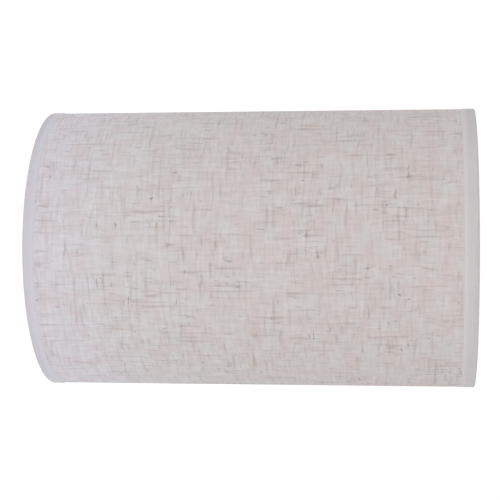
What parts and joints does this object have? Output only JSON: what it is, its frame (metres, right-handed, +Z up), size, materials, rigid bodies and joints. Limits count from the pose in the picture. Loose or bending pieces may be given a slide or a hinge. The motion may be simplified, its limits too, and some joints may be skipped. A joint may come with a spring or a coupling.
{
  "type": "lamp shade",
  "caption": "Tall hardback drum lamp shade in off-white slub fabric, with taped rims, wire rings, a spider and a lift-out reducer ring.",
  "frame": {"origin": "on the shade's axis, level with the bottom rim that it stands on", "axes": "+Z up along the axis towards the rim that carries the fitter; +Y towards the upright overlap seam"},
  "size_m": [0.196, 0.1976, 0.3],
  "materials": {
    "slub_fabric": "matt woven cloth with fine tan slubs",
    "trim_cloth": "smooth fine cotton tape",
    "backing_plastic": "satin translucent sheet",
    "adhesive_tape": "clear film",
    "painted_wire": "white powder coat on steel wire",
    "painted_washer": "white powder coat on pressed steel",
    "reducer_plastic": "moulded white plastic, satin"
  },
  "bodies": {
    "shade": {"fabric_cover": "slub_fabric", "backing_sheet": "backing_plastic", "seam_tape": "adhesive_tape", "top_trim": "trim_cloth", "bottom_trim": "trim_cloth", "top_ring": "painted_wire", "bottom_ring": "painted_wire", "spider_arm_1": "painted_wire", "spider_arm_2": "painted_wire", "spider_arm_3": "painted_wire", "fitter_ring": "painted_washer"},
    "reducer": {"reducer_ring": "reducer_plastic"}
  },
  "joints": [
    {"name": "reducer_lift", "type": "slide", "parent": "shade", "child": "reducer", "axis": [0, 0, 1], "range_m": [0, 0.035]}
  ]
}
